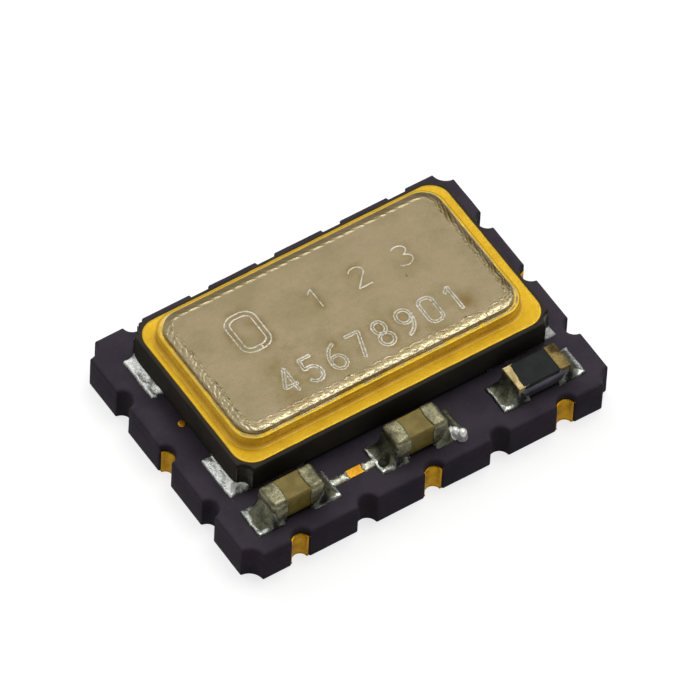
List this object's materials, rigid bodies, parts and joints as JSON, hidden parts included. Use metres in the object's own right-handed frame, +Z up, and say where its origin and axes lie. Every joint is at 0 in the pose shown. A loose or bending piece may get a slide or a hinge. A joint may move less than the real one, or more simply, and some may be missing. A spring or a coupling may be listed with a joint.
{
  "type": "crystal oscillator module",
  "caption": "Surface-mount crystal oscillator: notched dark ceramic base with gold terminals, sealed gold-rimmed crystal package and chip parts on top.",
  "frame": {"origin": "middle of the footprint, on the plane of the solder pads under the base", "axes": "+X along the length, +Y from the row of chips to the back edge, +Z up from the solder pads to the lid"},
  "size_m": [0.007, 0.005, 0.0016],
  "materials": {
    "base_ceramic": "satin",
    "package_ceramic": "satin",
    "gold_plate": "satin",
    "lid_metal": "satin",
    "solder_tin": "satin",
    "capacitor_ceramic": "matte",
    "resistor_ceramic": "matte",
    "resistor_coat": "satin",
    "terminal_film": "matte",
    "quartz": "gloss",
    "silver_film": "satin",
    "adhesive": "matte",
    "silicon": "satin",
    "underfill": "matte"
  },
  "bodies": {
    "root": {"base_ceramic": "base_ceramic", "terminal_front_left": "gold_plate", "terminal_front_middle": "gold_plate", "terminal_front_right": "gold_plate", "terminal_back_left": "gold_plate", "terminal_back_middle": "gold_plate", "terminal_back_right": "gold_plate", "terminal_end_left": "gold_plate", "terminal_end_right": "gold_plate", "crystal_lands": "gold_plate", "chip_lands": "gold_plate", "conductor_strip": "gold_plate", "gold_dot": "gold_plate", "circuit_die": "silicon", "die_bumps": "gold_plate", "die_underfill": "underfill", "housing": "package_ceramic", "housing_terminal_front_left": "gold_plate", "housing_terminal_front_right": "gold_plate", "housing_terminal_back_left": "gold_plate", "housing_terminal_back_right": "gold_plate", "sealing_rim": "gold_plate", "seal_ring": "gold_plate", "ring_braze": "gold_plate", "lid": "lid_metal", "quartz_blank": "quartz", "electrode_upper": "silver_film", "electrode_lower": "silver_film", "mounting_pad_front": "gold_plate", "mounting_pad_back": "gold_plate", "adhesive_front": "adhesive", "adhesive_back": "adhesive", "capacitor_left_body": "capacitor_ceramic", "capacitor_left_cap_left": "solder_tin", "capacitor_left_cap_right": "solder_tin", "capacitor_middle_body": "capacitor_ceramic", "capacitor_middle_cap_left": "solder_tin", "capacitor_middle_cap_right": "solder_tin", "resistor_substrate": "resistor_ceramic", "resistor_coat": "resistor_coat", "resistor_band_left": "terminal_film", "resistor_band_right": "terminal_film", "solder_capacitor_left_1": "solder_tin", "solder_capacitor_left_2": "solder_tin", "solder_capacitor_middle_1": "solder_tin", "solder_capacitor_middle_2": "solder_tin", "solder_resistor_1": "solder_tin", "solder_resistor_2": "solder_tin", "solder_package_front_left": "solder_tin", "solder_package_front_right": "solder_tin", "solder_package_back_left": "solder_tin", "solder_package_back_right": "solder_tin"}
  },
  "joints": []
}
